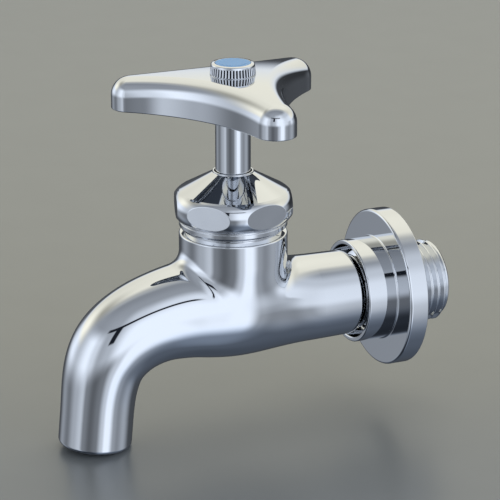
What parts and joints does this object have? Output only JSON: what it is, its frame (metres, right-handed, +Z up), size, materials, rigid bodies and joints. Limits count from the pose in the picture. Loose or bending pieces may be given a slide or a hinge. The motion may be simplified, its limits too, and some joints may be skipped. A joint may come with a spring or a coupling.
{
  "type": "bib tap",
  "caption": "Chromed brass wall bib tap with a rising-spindle jumper valve, domed hexagon bonnet nut, three-armed handle with cap screw, threaded inlet and screw-on wall flange.",
  "frame": {"origin": "centre of the wall flange's back face, on the inlet axis", "axes": "+Y along the inlet into the wall, +Z up along the spindle, X across"},
  "size_m": [0.0504, 0.1034, 0.0948],
  "materials": {
    "chromed_casting": "mirror-polished chrome plate on brass",
    "bare_brass": "machined, unplated",
    "black_rubber": "moulded, matte",
    "blue_plastic": "smooth"
  },
  "bodies": {
    "tap": {"tap_body": "chromed_casting", "bonnet_nut": "chromed_casting", "gland_washer": "bare_brass", "gland_packing": "black_rubber"},
    "flange": {"wall_flange": "chromed_casting"},
    "valve": {"valve_jumper": "bare_brass", "seat_rubber": "black_rubber", "clamp_washer": "bare_brass", "jumper_nut": "bare_brass"},
    "handle_group": {"spindle": "chromed_casting", "handle": "chromed_casting", "cap_screw": "chromed_casting", "index_disc": "blue_plastic"}
  },
  "joints": [
    {"name": "valve_lift", "type": "slide", "parent": "tap", "child": "valve", "axis": [0, 0, 1], "range_m": [0, 0.00562]},
    {"name": "handle_turn", "type": "hinge", "parent": "valve", "child": "handle_group", "pos_m": [0, -0.045, 0.03], "axis": [0, 0, 1], "range_deg": [0, 810.01]},
    {"name": "flange_set", "type": "slide", "parent": "tap", "child": "flange", "axis": [0, 1, 0], "range_m": [-0.009, 0.005]}
  ],
  "couplings": [
    {"joint": "handle_turn", "follows": "valve_lift", "rad_per_m": 2513.3}
  ]
}
